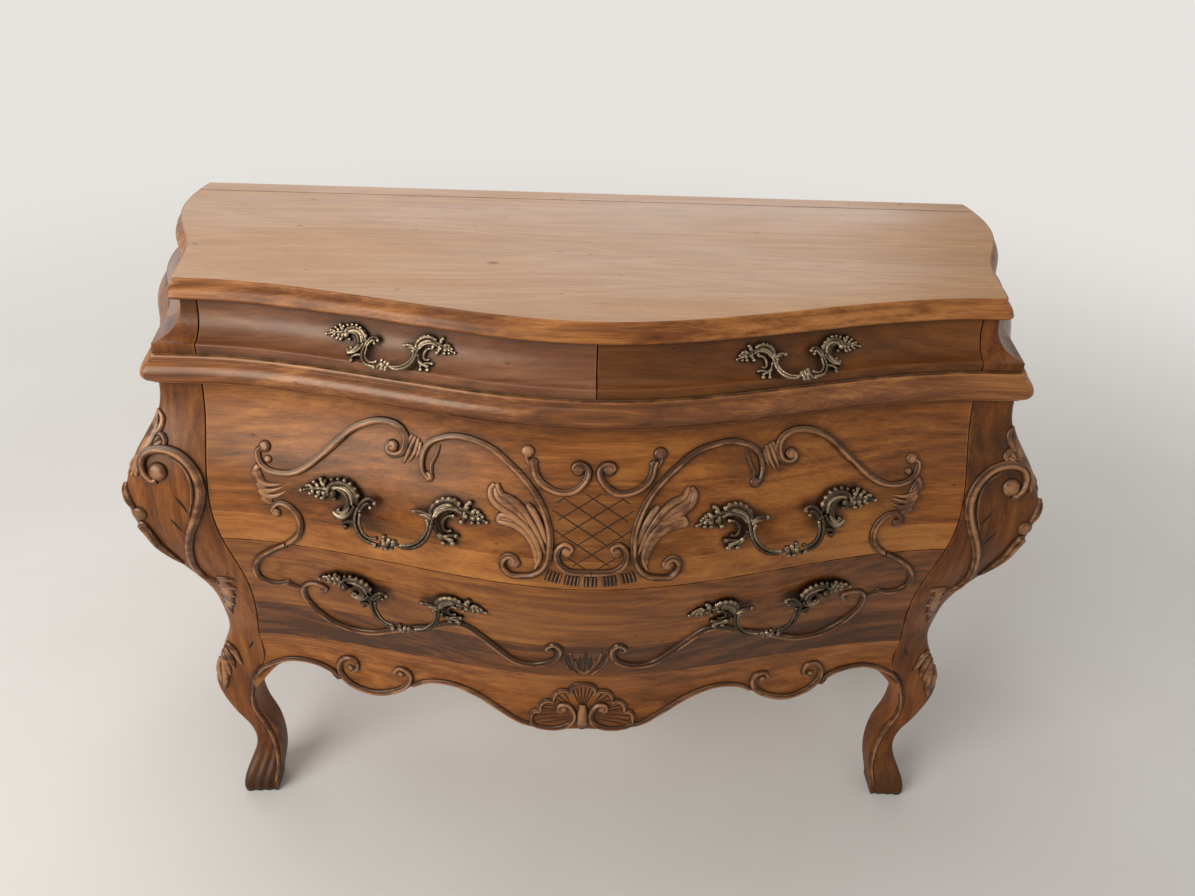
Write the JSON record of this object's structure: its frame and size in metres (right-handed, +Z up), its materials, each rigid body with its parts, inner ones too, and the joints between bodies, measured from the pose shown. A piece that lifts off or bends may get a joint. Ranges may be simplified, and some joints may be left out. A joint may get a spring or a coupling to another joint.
{
  "type": "bombe chest of drawers",
  "caption": "Bombe chest with a serpentine swelling front, small frieze drawers over deep drawers, carved scrollwork, a shaped apron, cast brass pulls and cabriole legs.",
  "frame": {"origin": "the middle of the floor under the chest, at the bottom centre of its bounding box", "axes": "+X along the chest's length to the right as one faces it, +Y from the front to the back, +Z up"},
  "size_m": [1.2294, 0.504, 0.85],
  "materials": {
    "walnut": "waxed, worn on the edges",
    "walnut_top": "faded, satin",
    "drawer_wood": "bare",
    "pull_brass": "dark antique patina",
    "screw_steel": "plain"
  },
  "bodies": {
    "carcass": {"apron": "walnut", "back_panel": "drawer_wood", "bottom_board": "drawer_wood", "corner_post_left": "walnut", "corner_post_right": "walnut", "drawer_rail": "drawer_wood", "frieze_back": "drawer_wood", "frieze_divider": "drawer_wood", "frieze_post_left": "walnut", "frieze_post_right": "walnut", "frieze_side_left": "walnut", "frieze_side_right": "walnut", "lower_guide_left": "drawer_wood", "lower_guide_right": "drawer_wood", "rear_post_left": "walnut", "rear_post_right": "walnut", "side_panel_left": "walnut", "side_panel_right": "walnut", "top_board": "walnut_top", "top_rear_strip": "walnut_top", "upper_runner_left": "drawer_wood", "upper_runner_right": "drawer_wood", "waist_board": "drawer_wood", "waist_moulding_front": "walnut", "waist_moulding_left": "walnut", "waist_moulding_right": "walnut", "waist_rail": "drawer_wood"},
    "frieze_drawer_left": {"frieze_drawer_left_back": "drawer_wood", "frieze_drawer_left_bottom": "drawer_wood", "frieze_drawer_left_front": "walnut", "frieze_drawer_left_pull": "pull_brass", "frieze_drawer_left_screws": "screw_steel", "frieze_drawer_left_side_left": "drawer_wood", "frieze_drawer_left_side_right": "drawer_wood"},
    "frieze_drawer_right": {"frieze_drawer_right_back": "drawer_wood", "frieze_drawer_right_bottom": "drawer_wood", "frieze_drawer_right_front": "walnut", "frieze_drawer_right_pull": "pull_brass", "frieze_drawer_right_screws": "screw_steel", "frieze_drawer_right_side_left": "drawer_wood", "frieze_drawer_right_side_right": "drawer_wood"},
    "upper_drawer": {"upper_drawer_back": "drawer_wood", "upper_drawer_bottom": "drawer_wood", "upper_drawer_front": "walnut", "upper_drawer_pull_left": "pull_brass", "upper_drawer_pull_right": "pull_brass", "upper_drawer_screws": "screw_steel", "upper_drawer_side_left": "drawer_wood", "upper_drawer_side_right": "drawer_wood"},
    "lower_drawer": {"lower_drawer_back": "drawer_wood", "lower_drawer_bottom": "drawer_wood", "lower_drawer_front": "walnut", "lower_drawer_pull_left": "pull_brass", "lower_drawer_pull_right": "pull_brass", "lower_drawer_screws": "screw_steel", "lower_drawer_side_left": "drawer_wood", "lower_drawer_side_right": "drawer_wood"}
  },
  "joints": [
    {"name": "frieze_drawer_left_slide", "type": "slide", "parent": "carcass", "child": "frieze_drawer_left", "axis": [0, -1, 0], "range_m": [0, 0.24]},
    {"name": "frieze_drawer_right_slide", "type": "slide", "parent": "carcass", "child": "frieze_drawer_right", "axis": [0, -1, 0], "range_m": [0, 0.24]},
    {"name": "upper_drawer_slide", "type": "slide", "parent": "carcass", "child": "upper_drawer", "axis": [0, -1, 0], "range_m": [0, 0.3]},
    {"name": "lower_drawer_slide", "type": "slide", "parent": "carcass", "child": "lower_drawer", "axis": [0, -1, 0], "range_m": [0, 0.3]}
  ]
}
